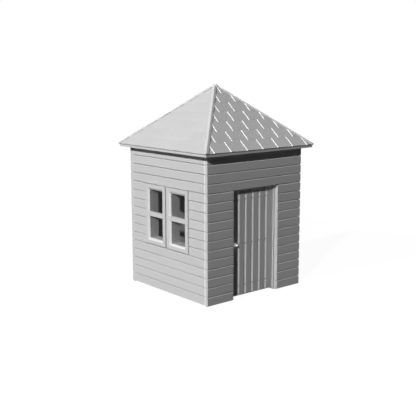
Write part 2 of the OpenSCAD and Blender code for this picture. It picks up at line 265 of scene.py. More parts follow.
def material_tree(name):
    """A new material and its empty node tree."""
    material = bpy.data.materials.new(name)
    material.use_nodes = True
    material.node_tree.nodes.clear()
    return material, material.node_tree


def dressed(tree, shade, colours, rough, height, strength, depth, shine=0.5, metal=0.0):
    """The surface that all solid finishes share: two colours mixed by shade, a roughness and a relief of
    the given strength and depth."""
    colour = add(tree, "ShaderNodeMix", {0: shade, 6: linear(colours[0]), 7: linear(colours[1])},
                 data_type="RGBA")
    relief = add(tree, "ShaderNodeBump", {"Height": height, "Strength": strength, "Distance": depth})
    shader = add(tree, "ShaderNodeBsdfPrincipled",
                 {"Base Color": colour.outputs[2], "Roughness": rough, "Normal": relief.outputs[0],
                  "Specular IOR Level": shine, "Metallic": metal})
    add(tree, "ShaderNodeOutputMaterial", {"Surface": shader.outputs["BSDF"]})


def painted_timber(name, dark, light, gloss, bump):
    """Oil paint brushed on planed timber. The grain telegraphs as shallow ridges along the board, and the
    bristles leave finer lines beside them. Each board takes the paint a little lighter or darker."""
    material, tree = material_tree(name)
    own, tone = own_figure(tree, (31.7, 17.3, 23.1))
    # Growth rings 20 to 30 mm apart on a flat-sawn face, about 0.7 m long
    figure = noise(tree, own, (1.4, 42, 42), 3, Roughness=0.6, Distortion=0.4)
    # Bristle lines are under 1 mm apart, and are drawn 3 mm apart so that they show
    bristles = noise(tree, own, (5, 330, 330), 2)
    # The coat is uneven over 300 to 500 mm, as far as one loading of the brush goes
    coat = noise(tree, own, 2.6, 2)
    uneven = reckon(tree, "MULTIPLY_ADD", coat, 0.55, -0.05)
    ringed = reckon(tree, "MULTIPLY_ADD", figure, 0.55, uneven)
    shade = reckon(tree, "MULTIPLY_ADD", tone, 0.25, ringed, clamp=True)
    sheen = ranged(tree, bristles, gloss - 0.05, gloss + 0.07, 0.3, 0.7)
    height = reckon(tree, "MULTIPLY_ADD", figure, 2.2, bristles)
    dressed(tree, shade, (dark, light), sheen, height, 0.6, bump, shine=0.08)
    return material


def matt_lining():
    """Matt emulsion rolled on sheet lining: no shine, a fine orange-peel stipple and faint roller bands."""
    material, tree = material_tree("matt_emulsion_on_lining")
    place = add(tree, "ShaderNodeTexCoord").outputs["Object"]
    # Roller stipple is 2 mm across, and is drawn 6 mm across so that it shows
    stipple = noise(tree, place, 160, 2)
    # Roller bands are about 220 mm wide and 2 m high
    bands = noise(tree, place, (4.5, 4.5, 0.5), 1)
    dressed(tree, bands, ("#c2c2c2", "#cacaca"), ranged(tree, stipple, 0.78, 0.92), stipple, 0.5,
            0.3 * MM, shine=0.05)
    return material


def worn_floor_paint():
    """Floor paint on tongued boards, scuffed dull along the grain and rubbed through to grey timber."""
    material, tree = material_tree("worn_floor_paint_on_boards")
    own, _ = own_figure(tree, (13.1, 29.7, 7.9))
    # Scuffs run about 150 mm along a board and 15 mm across it
    scuffs = noise(tree, own, (7, 65, 65), 4)
    # Worn patches are about 330 mm across
    patches = noise(tree, own, 3, 3)
    worn = ranged(tree, reckon(tree, "MULTIPLY", scuffs, patches), 0.0, 1.0, 0.27, 0.36)
    dressed(tree, worn, ("#8f8f8b", "#a39e93"), ranged(tree, worn, 0.45, 0.75), scuffs, 0.5, 0.4 * MM,
            shine=0.35)
    return material


def coated_tile(name, dark, light):
    """Sawn timber tiles under a sanded roof coating: a dry, even face with fine grit and faint run-off
    streaks down the slope."""
    material, tree = material_tree(name)
    own, tone = own_figure(tree, (11.3, 19.9, 5.3))
    # The grit is 1 mm sand, and is drawn 5 mm across so that it shows
    grit = noise(tree, own, 200, 2)
    # Streaks are 30 to 60 mm wide and as long as two courses
    streaks = noise(tree, own, (2.2, 22, 22), 2)
    streaked = reckon(tree, "MULTIPLY_ADD", streaks, 0.5, reckon(tree, "MULTIPLY", grit, 0.5))
    shade = reckon(tree, "MULTIPLY_ADD", tone, 0.2, streaked, clamp=True)
    dressed(tree, shade, (dark, light), ranged(tree, grit, 0.72, 0.9), grit, 0.5, 0.5 * MM,
            shine=0.05)
    return material


def rubbed_metal(name, dark, light, smooth, rough):
    """Metal with a fine satin rub: a soft broad highlight, and handling marks that dull it."""
    material, tree = material_tree(name)
    place = add(tree, "ShaderNodeTexCoord").outputs["Object"]
    # Handling marks are 5 to 10 mm across
    marks = noise(tree, place, 120, 3)
    # Rubbing lines are 0.1 mm apart, and are drawn 1 mm apart so that they show
    lines = noise(tree, place, (80, 80, 960), 2)
    gloss = ranged(tree, marks, smooth, rough, 0.3, 0.7)
    dressed(tree, marks, (dark, light), gloss, lines, 0.3, 0.05 * MM, metal=1.0)
    return material


def float_glass():
    """Float glass, 4 mm: flat and clear, with a weak mirror that grows towards the edge-on view, and a
    trace of dust that softens it in patches."""
    material, tree = material_tree("float_glass")
    place = add(tree, "ShaderNodeTexCoord").outputs["Object"]
    # Dust lies in patches about 100 mm across
    dust = noise(tree, place, 9, 3)
    mirror = add(tree, "ShaderNodeBsdfAnisotropic", {"Color": linear("#ffffff"),
                                                     "Roughness": ranged(tree, dust, 0.01, 0.08)})
    clear = add(tree, "ShaderNodeBsdfTransparent", {"Color": linear("#f8f8f8")})
    facing = add(tree, "ShaderNodeLayerWeight", {"Blend": 0.5}).outputs["Facing"]
    # The mirror is faint face-on and grows with the fifth power, as on real glass
    share = reckon(tree, "MULTIPLY_ADD", reckon(tree, "POWER", facing, 5), 0.3, 0.004)
    pane = add(tree, "ShaderNodeMixShader", {0: share, 1: clear.outputs[0], 2: mirror.outputs[0]})
    add(tree, "ShaderNodeOutputMaterial", {"Surface": pane.outputs[0]})
    return material


BOARD_PAINT = painted_timber("satin_oil_paint_on_pine_boards", "#cbcbcb", "#d2d2d2", 0.5, 0.35 * MM)
TRIM_PAINT = painted_timber("satin_oil_paint_on_trim", "#cccccc", "#d4d4d4", 0.45, 0.25 * MM)
# Painted light: this paler paint on the boards' bevels, the door's V joints and the doorway's reveals stands
# in for the light that falls on those faces
BEVEL_PAINTED_LIGHT = painted_timber("second_pale_coat_on_bevels", "#f2f2f2", "#f9f9f9", 0.5, 0.15 * MM)
# Painted light: the casings' bevels take a paler paint that stands in for the light falling on them
CASING_PAINTED_LIGHT = painted_timber("pale_oil_paint_on_casing_bevels", "#e1e1e1", "#e9e9e9", 0.5, 0.15 * MM)
# Painted light: the caps' paint is paler than the boards' paint, standing in for the light that falls on the
# caps
CAP_PAINT_WITH_PAINTED_LIGHT = painted_timber("pale_oil_paint_on_hip_caps", "#dedede", "#e6e6e6", 0.5, 0.2 * MM)
LINING_PAINT = matt_lining()
FLOOR_PAINT = worn_floor_paint()
TILE_COAT = coated_tile("sanded_coating_on_timber_tiles", "#d2d2d2", "#dadada")
# Painted light: the tiles' risers take a near-white coat that stands in for the light falling on them
TILE_RISER_PAINTED_LIGHT = coated_tile("pale_sealer_on_sawn_tile_edges", "#f7f7f7", "#fcfcfc")
SATIN_METAL = rubbed_metal("satin_anodised_aluminium", "#f2f2f2", "#fafafa", 0.42, 0.5)
ZINC_STEEL = rubbed_metal("zinc_plated_steel", "#a3a5a6", "#bcbdbd", 0.36, 0.52)
WINDOW_GLASS = float_glass()


# ---- solids ----

def block(low, high):
    """A squared length of timber between two corners."""
    low, high = Vector(low), Vector(high)
    bm = bmesh.new()
    bmesh.ops.create_cube(bm, size=1.0)
    for v in bm.verts:
        v.co = (low + high) / 2 + v.co * (high - low)
    return bm


def shave(bm, point, outward, edge=MAIN):
    """Planes away what lies outward of a point, and closes the cut, whose faces take the edge's finish."""
    everything = bm.verts[:] + bm.edges[:] + bm.faces[:]
    cut = bmesh.ops.bisect_plane(bm, geom=everything, dist=1e-7, plane_co=point,
                                 plane_no=Vector(outward).normalized(), clear_outer=True)
    rim = [e for e in cut["geom_cut"] if isinstance(e, bmesh.types.BMEdge)]
    if not rim:
        return
    for face in bmesh.ops.edgeloop_fill(bm, edges=rim)["faces"]:
        face.normal_update()
        if face.normal.dot(outward) < 0:
            face.normal_flip()
        face.material_index = edge


def ease(bm, width, steps=2):
    """Rounds every sharp edge of a solid by width."""
    sharp = [e for e in bm.edges if len(e.link_faces) == 2 and e.calc_face_angle() > SHARP]
    bmesh.ops.bevel(bm, geom=sharp, offset=width, segments=steps, profile=0.5, affect="EDGES",
                    clamp_overlap=True, material=-1)


def turned(profile, centre, steps):
    """A solid turned about a line along Y: profile gives (distance along Y, radius), tip to tip."""
    bm = bmesh.new()
    rings = []
    for along, radius in profile:
        if radius < 1e-6:
            rings.append([bm.verts.new((0, along, 0))])
        else:
            turn = [2 * math.pi * i / steps for i in range(steps)]
            rings.append([bm.verts.new((radius * math.cos(a), along, radius * math.sin(a))) for a in turn])
    for here, there in zip(rings, rings[1:]):
        for i in range(steps):
            j = (i + 1) % steps
            corners = [here[i % len(here)], here[j % len(here)],
                       there[j % len(there)], there[i % len(there)]]
            bm.faces.new([c for n, c in enumerate(corners) if c not in corners[:n]])
    if len(rings[0]) > 1 and len(rings[-1]) > 1:
        for i in range(steps):
            j = (i + 1) % steps
            bm.faces.new([rings[-1][i], rings[-1][j], rings[0][j], rings[0][i]])
    bmesh.ops.translate(bm, verts=bm.verts, vec=centre)
    bmesh.ops.recalc_face_normals(bm, faces=bm.faces)
    for face in bm.faces:
        face.smooth = True
    return bm


def mesh_of(bm, run=X, face=Y, tone=0.0):
    """A solid as a mesh, with its grain along run, its broad face towards face, and its tone of paint."""
    mesh = bpy.data.meshes.new("solid")
    bm.to_mesh(mesh)
    bm.free()
    return grained(mesh, run, face, tone)


def grained(mesh, run, face, tone=None):
    """Writes each point's place along the grain, across it and into the board, and the board's tone."""
    run, face = Vector(run).normalized(), Vector(face).normalized()
    across = face.cross(run)
    grain = mesh.attributes.get("grain") or mesh.attributes.new("grain", "FLOAT_VECTOR", "POINT")
    places = [c for v in mesh.vertices for c in (v.co.dot(run), v.co.dot(across), v.co.dot(face))]
    grain.data.foreach_set("vector", places)
    if tone is not None:
        tones = mesh.attributes.get("tone") or mesh.attributes.new("tone", "FLOAT", "POINT")
        tones.data.foreach_set("value", [tone] * len(mesh.vertices))
    return mesh


def joined(meshes):
    """Several meshes as one, with their grain, tone, finish and smoothness."""
    whole = bpy.data.meshes.new("joined")
    points, faces, finishes, smooth, grain, tone = [], [], [], [], [], []
    for mesh in meshes:
        start = len(points)
        points += [v.co[:] for v in mesh.vertices]
        faces += [[start + i for i in p.vertices] for p in mesh.polygons]
        finishes += [p.material_index for p in mesh.polygons]
        smooth += [p.use_smooth for p in mesh.polygons]
        grain += [c for g in mesh.attributes["grain"].data for c in g.vector]
        tone += [t.value for t in mesh.attributes["tone"].data]
    whole.from_pydata(points, [], faces)
    whole.polygons.foreach_set("material_index", finishes)
    whole.polygons.foreach_set("use_smooth", smooth)
    whole.attributes.new("grain", "FLOAT_VECTOR", "POINT").data.foreach_set("vector", grain)
    whole.attributes.new("tone", "FLOAT", "POINT").data.foreach_set("value", tone)
    for mesh in meshes:
        bpy.data.meshes.remove(mesh)
    return whole


def about_z(mesh, turn):
    """The mesh turned about Z to its side of the booth."""
    mesh.transform(Matrix.Rotation(turn, 4, "Z"))
    return mesh


def moved(mesh, x, y, z):
    """The mesh shifted by three distances."""
    mesh.transform(Matrix.Translation((x, y, z)))
    return mesh


def baked(obj):
    """An object's mesh with its modifiers applied. The object itself is removed."""
    bpy.context.view_layer.update()
    evaluated = obj.evaluated_get(bpy.context.evaluated_depsgraph_get())
    mesh = bpy.data.meshes.new_from_object(evaluated)
    bpy.data.objects.remove(obj)
    return mesh


def placed(name, data):
    """An object in the scene for a mesh, a lamp or a camera."""
    obj = bpy.data.objects.new(name, data)
    bpy.context.scene.collection.objects.link(obj)
    return obj


def cut_away(mesh, cutters):
    """The mesh with each cutter's shape taken out of it."""
    obj = placed("helper", mesh)
    tools = [placed("helper", cutter) for cutter in cutters]
    for tool in tools:
        modifier = obj.modifiers.new("cut", "BOOLEAN")
        modifier.operation = "DIFFERENCE"
        modifier.solver = "EXACT"
        modifier.object = tool
    result = baked(obj)
    for tool in tools:
        bpy.data.objects.remove(tool)
    return result


def plain(bm):
    """Gives every face the piece's own finish and flat shading."""
    for face in bm.faces:
        face.material_index = MAIN
        face.smooth = False
    return bm


def finished_copy(node, arris, run, face, tone):
    """A CAD node's mesh with its flats made whole and its sharp edges rounded, as sanded by hand."""
    bm = bmesh.new()
    bm.from_mesh(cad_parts[node].data)
    bmesh.ops.remove_doubles(bm, verts=bm.verts, dist=NEAR)
    bmesh.ops.dissolve_limit(bm, angle_limit=FLAT, verts=bm.verts, edges=bm.edges)
    plain(bm)
    if arris:
        ease(bm, arris)
    return mesh_of(bm, run, face, tone)


def piece(name, mesh, body, slot, finishes, *replaced):
    """A finished piece on its body, with its finishes, hiding the CAD nodes that it stands for. The slot
    argument is not used.
    """
    chosen = [p.material_index for p in mesh.polygons]
    mesh.materials.clear()
    for material in finishes:
        mesh.materials.append(material)
    mesh.polygons.foreach_set("material_index", chosen)
    obj = placed(name, mesh)
    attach(obj, body)
    if replaced:
        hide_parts(*replaced)


def rounded(node, ending, arris, run, face, tone, body, slot, finish):
    """A piece that is its CAD node with sanded edges."""
    piece(node + ending, finished_copy(node, arris, run, face, tone), body, slot, (finish,), node)


# ---- what repeats ----

def rows_tree():
    """Repeats a shape in rows: Across copies to a row, Up rows, every second row shifted by Stagger. Each
    copy has its own tone. Faces marked pale take the Edge material, and the others the Face material."""
    tree = bpy.data.node_groups.new("rows_of", "GeometryNodeTree")
    for name, kind in (("Shape", "NodeSocketGeometry"), ("Across", "NodeSocketInt"), ("Up", "NodeSocketInt"),
                       ("Step Across", "NodeSocketVector"), ("Step Up", "NodeSocketVector"),
                       ("Stagger", "NodeSocketVector"), ("Seed", "NodeSocketInt"),
                       ("Face", "NodeSocketMaterial"), ("Edge", "NodeSocketMaterial")):
        tree.interface.new_socket(name=name, in_out="INPUT", socket_type=kind)
    tree.interface.new_socket(name="Rows", in_out="OUTPUT", socket_type="NodeSocketGeometry")
    given = add(tree, "NodeGroupInput").outputs
    count = reckon(tree, "MULTIPLY", given["Across"], given["Up"])
    index = add(tree, "GeometryNodeInputIndex").outputs[0]
    column = reckon(tree, "MODULO", index, given["Across"])
    row = reckon(tree, "FLOOR", reckon(tree, "DIVIDE", index, given["Across"]))
    odd = reckon(tree, "MODULO", row, 2)
    shifted = add(tree, "ShaderNodeVectorMath", {0: given["Stagger"], "Scale": odd},
                  operation="SCALE").outputs[0]
    raised = scaled_sum(tree, given["Step Up"], row, shifted)
    place = scaled_sum(tree, given["Step Across"], column, raised)
    points = add(tree, "GeometryNodePoints", {"Count": count, "Position": place}).outputs[0]
    copies = add(tree, "GeometryNodeInstanceOnPoints", {"Points": points, "Instance": given["Shape"]})
    tone = add(tree, "FunctionNodeRandomValue", {2: -1.0, 3: 1.0, "ID": index, "Seed": given["Seed"]},
               data_type="FLOAT").outputs[1]
    toned = add(tree, "GeometryNodeStoreNamedAttribute",
                {"Geometry": copies.outputs[0], "Name": "tone", "Value": tone},
                data_type="FLOAT", domain="INSTANCE").outputs[0]
    real = add(tree, "GeometryNodeRealizeInstances", {"Geometry": toned}).outputs[0]
    faced = add(tree, "GeometryNodeSetMaterial", {"Geometry": real, "Material": given["Face"]}).outputs[0]
    pale = add(tree, "GeometryNodeInputNamedAttribute", {"Name": "pale"}, data_type="BOOLEAN").outputs[0]
    edged = add(tree, "GeometryNodeSetMaterial",
                {"Geometry": faced, "Selection": pale, "Material": given["Edge"]}).outputs[0]
    add(tree, "NodeGroupOutput", {0: edged})
    return tree


ROWS = rows_tree()
ROW_INPUTS = {item.name: item.identifier for item in ROWS.interface.items_tree if item.in_out == "INPUT"}


def rows_of(shape, across, up, step_across, step_up, seed, face, edge=None, stagger=(0, 0, 0)):
    """A mesh of copies of one solid, placed by the rows tree and made real."""
    pale = shape.attributes.new("pale", "BOOLEAN", "FACE")
    pale.data.foreach_set("value", [p.material_index == PALE for p in shape.polygons])
    if "tone" in shape.attributes:
        shape.attributes.remove(shape.attributes["tone"])
    obj = placed("helper", shape)
    modifier = obj.modifiers.new("rows", "NODES")
    modifier.node_group = ROWS
    for name, value in (("Across", across), ("Up", up), ("Step Across", step_across), ("Step Up", step_up),
                        ("Stagger", stagger), ("Seed", seed), ("Face", face), ("Edge", edge or face)):
        modifier[ROW_INPUTS[name]] = value
    mesh = baked(obj)
    names = [m.name if m else "" for m in mesh.materials]
    if edge and edge.name in names:
        pale_slot = names.index(edge.name)
        for p in mesh.polygons:
            p.material_index = PALE if p.material_index == pale_slot else MAIN
    return mesh


def shaded_by(mesh, key, seed):
    """Gives all faces with the same key one tone, and stores it face by face."""
    if "tone" in mesh.attributes:
        mesh.attributes.remove(mesh.attributes["tone"])
    draw = random.Random(seed)
    keys = [key(p.center) for p in mesh.polygons]
    tones = {k: draw.uniform(-1, 1) for k in sorted(set(keys))}
    layer = mesh.attributes.new("tone", "FLOAT", "FACE")
    layer.data.foreach_set("value", [tones[k] for k in keys])
    return mesh


# ---- cladding ----

def board_shape(half_length, outer_ends, bevel_finish):
    """The lowest board of a wall that faces -Y. Its upper edge is bevelled and its lower edge is cut back
    under. A corner board's ends are eased, and bevelled behind. Other boards end in a bevel in front."""
    front, back = -HALF, -CORE_FACE
    low, high = JOINT / 2, BOARD_H - JOINT / 2
    bm = block((-half_length, front, low), (half_length, back, high))
    shave(bm, (0, front, high - TOP_BEVEL), (0, -1, 1), bevel_finish)
    shave(bm, (0, front, low + LIP_HIGH), (0, -LIP_HIGH, -LIP_DEEP))
    for side in (-1, 1):
        end = side * half_length
        if outer_ends:
            shave(bm, (end, 0, high - END_EASE), (side, 0, 1))
            shave(bm, (end, 0, low + END_EASE), (side, 0, -1))
            shave(bm, (end - side * END_EASE, front, 0), (side, -1, 0))
            shave(bm, (end, back - END_BEVEL, 0), (side, 1, 0))
        else:
            # The bevel at a joint takes the paler paint, painted light on the corner joint
            shave(bm, (end - side * END_BEVEL, front, 0), (side, -1, 0), PALE)
    return mesh_of(bm, X, -Y)


def wall_of_boards(half_length, outer_ends, turn, openings, seed, cut_finish):
    """All the boards of one wall, turned to its side and cut round its openings."""
    boards = rows_of(board_shape(half_length, outer_ends, cut_finish), 1, BOARD_ROWS, (0, 0, 0),
                     (0, 0, BOARD_H), seed, face=BOARD_PAINT, edge=BEVEL_PAINTED_LIGHT)
    cutters = [mesh_of(block(low, high)) for low, high in openings]
    for cutter in cutters:
        cutter.polygons.foreach_set("material_index", [cut_finish] * len(cutter.polygons))
    if cutters:
        boards = cut_away(boards, cutters)
    spin = Matrix.Rotation(turn, 3, "Z")
    grained(about_z(boards, turn), spin @ X, spin @ -Y)
    return shaded_by(boards, lambda c: min(int(c.z / BOARD_H), BOARD_ROWS - 1), seed)


# Each opening is given by two corners of what is cut away
DOORWAY = ((-DOOR_HALF, -HALF - THROUGH, -THROUGH), (DOOR_HALF, -CORE_FACE + THROUGH, DOOR_TOP))
# In a side wall drawn facing -Y, the windows lie the same distance either side of the middle
WINDOWS = [((s * WINDOW_Y - WINDOW_HALF_W, -HALF - THROUGH, WINDOW_FOOT),
            (s * WINDOW_Y + WINDOW_HALF_W, -CORE_FACE + THROUGH, WINDOW_TOP)) for s in (-1, 1)]
FRONT_NODES = ("front_cladding_left", "front_cladding_right", "front_cladding_header")
# The front wall's top bevels and doorway cuts take the paler paint, painted light for the light falling on
# them; the other walls keep their own paint there
for wall, half_length, openings, seed, cut_finish, nodes in (
        ("front", HALF, [DOORWAY], 11, PALE, FRONT_NODES),
        ("back", HALF, [], 12, MAIN, ("back_cladding",)),
        ("left", CORE_FACE, WINDOWS, 13, MAIN, ("left_cladding",)),
        ("right", CORE_FACE, WINDOWS, 14, MAIN, ("right_cladding",))):
    boards = wall_of_boards(half_length, half_length == HALF, TURNS[wall], openings, seed, cut_finish)
    piece(wall + "_boards", boards, "booth", "painted_boards", (BOARD_PAINT, BEVEL_PAINTED_LIGHT), *nodes)


def nail_head():
    """A round nail head under paint, seen from -Y: a shallow dome on the board's face."""
    rise = [(0.0, 0.0), (0.0, NAIL_R), (-0.5 * NAIL_RISE, 0.8 * NAIL_R), (-NAIL_RISE, 0.0)]
    return mesh_of(turned(rise, ORIGIN, 10), X, -Y)


def nail_field(corner, across, up, step, rise, seed):
    """Rows of nail heads, seen from -Y, with the first at the corner."""
    return moved(rows_of(nail_head(), across, up, (step, 0, 0), (0, 0, rise), seed, face=BOARD_PAINT),
                 *corner)


def nails(starts, turn, seed):
    """Nail heads on a wall that faces -Y, then turned to its side: (start x, start z, across, up, step)."""
    fields = [nail_field((x, -HALF, z), across, up, step, BOARD_H, seed + n)
              for n, (x, z, across, up, step) in enumerate(starts)]
    return about_z(joined(fields), turn)


# Two nails to a board at each stud
front_fields, back_fields, side_fields = [], [], []
for lift in (NAIL_IN, BOARD_H - NAIL_IN):
    for stud in (-HALF + EDGE_STUD, -DOOR_HALF - EDGE_STUD, DOOR_HALF + EDGE_STUD, HALF - EDGE_STUD):
        front_fields.append((stud, lift, 1, BOARD_ROWS, STUD))
    front_fields.append((-STUD / 2, lift + OVER_DOOR * BOARD_H, 2, BOARD_ROWS - OVER_DOOR, STUD))
    back_fields.append((-HALF + EDGE_STUD, lift, BACK_STUDS, BOARD_ROWS,
                        2 * (HALF - EDGE_STUD) / (BACK_STUDS - 1)))
    for stud in (-CORE_FACE + 2 * EDGE_STUD, CORE_FACE - 2 * EDGE_STUD):
        side_fields.append((stud, lift, 1, BOARD_ROWS, STUD))
    side_fields.append((-STUD, lift, 3, UNDER_WINDOW, STUD))
    side_fields.append((-STUD, lift + OVER_WINDOW * BOARD_H, 3, BOARD_ROWS - OVER_WINDOW, STUD))
for wall, fields, seed in (("front", front_fields, 21), ("back", back_fields, 41),
                           ("left", side_fields, 61), ("right", side_fields, 81)):
    piece(wall + "_board_nails", nails(fields, TURNS[wall], seed), "booth", "painted_boards",
          (BOARD_PAINT,))


# ---- walls inside, ceiling and floor ----

# The walls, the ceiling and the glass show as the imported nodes, each in its own finish
for node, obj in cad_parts.items():
    for word, material in (("wall", LINING_PAINT), ("ceiling", LINING_PAINT), ("glass", WINDOW_GLASS)):
        if word in node:
            obj.data.materials.clear()
            obj.data.materials.append(material)


def floor_boards():
    """Floor boards that run from front to back, with eased edges and a fine joint between them."""
    width = 2 * INNER / FLOOR_BOARDS
    bm = block((-INNER + FLOOR_JOINT / 2, -INNER, 0), (-INNER + width - FLOOR_JOINT / 2, INNER, FLOOR_TOP))
    ease(bm, FLOOR_EASE)
    return rows_of(mesh_of(bm, Y, Z), FLOOR_BOARDS, 1, (width, 0, 0), (0, 0, 0), 91, face=FLOOR_PAINT)


piece("floor_boards", floor_boards(), "booth", "floor_boards", (FLOOR_PAINT,), "floor_deck")

# ---- door frame ----

for node, run in (("door_jamb_left", Z), ("door_jamb_right", Z), ("door_head", X)):
    frame_piece = finished_copy(node, ARRIS, run, -Y, 0.3)
    # The faces inside the doorway take the paler paint, painted light for the light that reaches into the
    # doorway
    sides = [PALE if run == Z and abs(p.normal.x) > 0.7 else MAIN for p in frame_piece.polygons]
    frame_piece.polygons.foreach_set("material_index", sides)
    piece(node + "_sanded", frame_piece, "booth", "painted_trim", (TRIM_PAINT, BEVEL_PAINTED_LIGHT), node)


# ---- door ----

def bore():
    """The hole through the door for the spindle, as a cutter."""
    depth = 3 * THROUGH
    run = [(LEAF_LOW.y - depth, 0.0), (LEAF_LOW.y - depth, BORE_R), (LEDGE_BACK + depth, BORE_R),
           (LEDGE_BACK + depth, 0.0)]
    return mesh_of(turned(run, SPINDLE, 24))


def joint_plugs():
    """Short plugs in the door's V joints, just below the boards' faces, level with the ledges."""
    plugs = []
    for x, height in itertools.product(DOOR_JOINTS, PLUG_HEIGHTS):
        bm = block((x - DOOR_V_WIDE, LEAF_LOW.y + PLUG_SINK, height - PLUG_HIGH / 2),
                   (x + DOOR_V_WIDE, LEAF_LOW.y + DOOR_V_DEEP, height + PLUG_HIGH / 2))
        for side in (-1, 1):
            shave(bm, (x, LEAF_LOW.y + DOOR_V_DEEP - PLUG_SINK, 0), (side * DOOR_V_DEEP, DOOR_V_WIDE, 0))
        plugs.append(mesh_of(bm, X, -Y, 0.0))
    return plugs


def door_boards():
    """Six upright boards, V-jointed in front and eased behind."""
    draw = random.Random(31)
    boards = []
    for left, right in itertools.pairwise(DOOR_EDGES):
        bm = block((left + JOINT / 2, LEAF_LOW.y, LEAF_LOW.z), (right - JOINT / 2, LEAF_HIGH.y, LEAF_HIGH.z))
        for side, edge in ((-1, left + JOINT / 2), (1, right - JOINT / 2)):
            outer = edge - side * JOINT / 2 in (LEAF_LOW.x, LEAF_HIGH.x)
            # The V joints' bevels take the paler paint, painted light along each joint
            wide, deep = (ARRIS, ARRIS) if outer else (DOOR_V_WIDE, DOOR_V_DEEP)
            shave(bm, (edge - side * wide, LEAF_LOW.y, 0), (side * deep, -wide, 0), MAIN if outer else PALE)
            shave(bm, (edge - side * BACK_BEVEL, LEAF_HIGH.y, 0), (side, 1, 0))
        for up, end in ((1, LEAF_HIGH.z), (-1, LEAF_LOW.z)):
            shave(bm, (0, LEAF_LOW.y, end - up * ARRIS), (0, -1, up))
        board = mesh_of(bm, Z, -Y, draw.uniform(-1, 1))
        if left < KNOB_X < right:
            tone = board.attributes["tone"].data[0].value
            board = grained(cut_away(board, [bore()]), Z, -Y, tone)
        boards.append(board)
    return joined(boards + joint_plugs())


piece("door_boards", door_boards(), "door", "painted_boards", (BOARD_PAINT, BEVEL_PAINTED_LIGHT), "door_leaf")

ledges = cut_away(finished_copy("door_ledges", 0, X, Y, 0.2), [bore()])
bm = bmesh.new()
bm.from_mesh(ledges)
# Only the edges that run along the ledges are planed round
long_edges = [e for e in bm.edges if len(e.link_faces) == 2 and e.calc_face_angle() > math.radians(80)
              and abs((e.verts[0].co - e.verts[1].co).normalized().x) > 0.99]
bmesh.ops.bevel(bm, geom=long_edges, offset=2 * ARRIS, segments=2, profile=0.5, affect="EDGES", material=-1)
piece("door_ledges_planed", mesh_of(bm, X, Y, 0.2), "door", "painted_boards", (BOARD_PAINT,), "door_ledges")
rounded("door_braces", "_planed", ARRIS, BRACE_RUN, Y, -0.4, "door", "painted_boards", BOARD_PAINT)


def door_nails():
    """Two nails through each board into each ledge, with their heads on the front of the door."""
    heights = (LEAF_LOW.z + LEDGE_END, KNOB_Z, LEAF_HIGH.z - LEDGE_END)
    fields = []
    for n, (left, right) in enumerate(itertools.pairwise(DOOR_EDGES)):
        for m, height in enumerate(heights):
            # The knob's rose takes the place of the nails
            if height == KNOB_Z and left < KNOB_X < right:
                continue
            corner = ((left + right) / 2 - NAIL_SPREAD, LEAF_LOW.y, height - NAIL_SPREAD)
            fields.append(nail_field(corner, 2, 2, 2 * NAIL_SPREAD, 2 * NAIL_SPREAD, 7 * n + m))
    return joined(fields)


piece("door_nails", door_nails(), "door", "painted_boards", (BOARD_PAINT,))


# ---- knob, roses and hinges ----

def half_knob(rose_face, out):
    """The profile of a ball knob from its tip to the rose: ball, waist and neck. Out is -1 or 1 along Y."""
    centre = rose_face + out * KNOB_REACH
    ball = []
    for step in range(BALL_STEPS + 1):
        angle = BALL_ARC * step / BALL_STEPS
        ball.append((centre + out * KNOB_R * math.cos(angle), KNOB_R * math.sin(angle)))
    foot = rose_face + out * JOINT
    # The neck is narrow behind the ball and flares again at the rose
    waist = [(centre - out * 23.5 * MM, 10.2 * MM), (centre - out * 25.5 * MM, NECK_R),
             (foot + out * 4 * MM, NECK_R), (foot + out * 1.5 * MM, 11 * MM), (foot, 12 * MM),
             (foot, SPINDLE_R)]
    return ball + waist


outer_face = LEAF_LOW.y - ROSE_T
inner_face = LEDGE_BACK + ROSE_T
knob_line = half_knob(outer_face, -1) + half_knob(inner_face, 1)[::-1]
knob = turned(knob_line, SPINDLE, 48)
piece("knob_turned", mesh_of(knob, Z, -Y), "knob", "knob_metal", (SATIN_METAL,), "door_knob")


def screw_head(radius):
    """A countersunk head with a driver slot, seen from -Y, a little proud of its plate."""
    line = [(0.5 * MM, 0.0), (0.5 * MM, radius), (0.0, radius), (-0.6 * SCREW_RISE, 0.85 * radius),
            (-SCREW_RISE, 0.0)]
    head = mesh_of(turned(line, ORIGIN, 16), X, -Y)
    slot = mesh_of(block((-2 * radius, -2 * SCREW_RISE, -0.4 * MM),
                         (2 * radius, -0.2 * SCREW_RISE, 0.4 * MM)))
    return grained(cut_away(head, [slot]), X, -Y)


def rose(face, out):
    """A rose round the spindle: a flat disc with a rounded rim. Face is the side that lies on the door."""
    top = face + out * ROSE_T
    rim = 1.5 * MM
    # The rim is rounded, and a collar stands up round the spindle inside the dish
    line = [(face, BORE_R), (face, ROSE_R), (top - out * rim, ROSE_R),
            (top - out * 0.4 * rim, ROSE_R - 0.3 * rim), (top, ROSE_R - rim),
            (top, ROSE_R - 3 * rim), (top - out * ROSE_DISH, ROSE_R - 4 * rim),
            (top - out * ROSE_DISH, 14.5 * MM), (top, 13.5 * MM), (top, BORE_R)]
    return mesh_of(turned(line, SPINDLE, 48), Z, -Y)


roses = [rose(LEAF_LOW.y, -1), rose(LEDGE_BACK, 1)]
for face, flip in ((outer_face + ROSE_DISH, 0), (inner_face - ROSE_DISH, 2 * QUARTER)):
    pair = rows_of(screw_head(0.6 * SCREW_R), 1, 2, (0, 0, 0), (0, 0, ROSE_SCREWS), 5, face=SATIN_METAL)
    moved(pair, 0, 0, -ROSE_SCREWS / 2).transform(Matrix.Rotation(flip, 4, "X"))
    roses.append(moved(pair, KNOB_X, face, KNOB_Z))
piece("roses_turned", joined(roses), "door", "knob_metal", (SATIN_METAL,), "knob_roses")

for node, body in (("hinge_frame_plates", "booth"), ("hinge_door_plates", "door")):
    rounded(node, "_pressed", PLATE_EASE, Z, Y, 0.0, body, "hinge_steel", ZINC_STEEL)

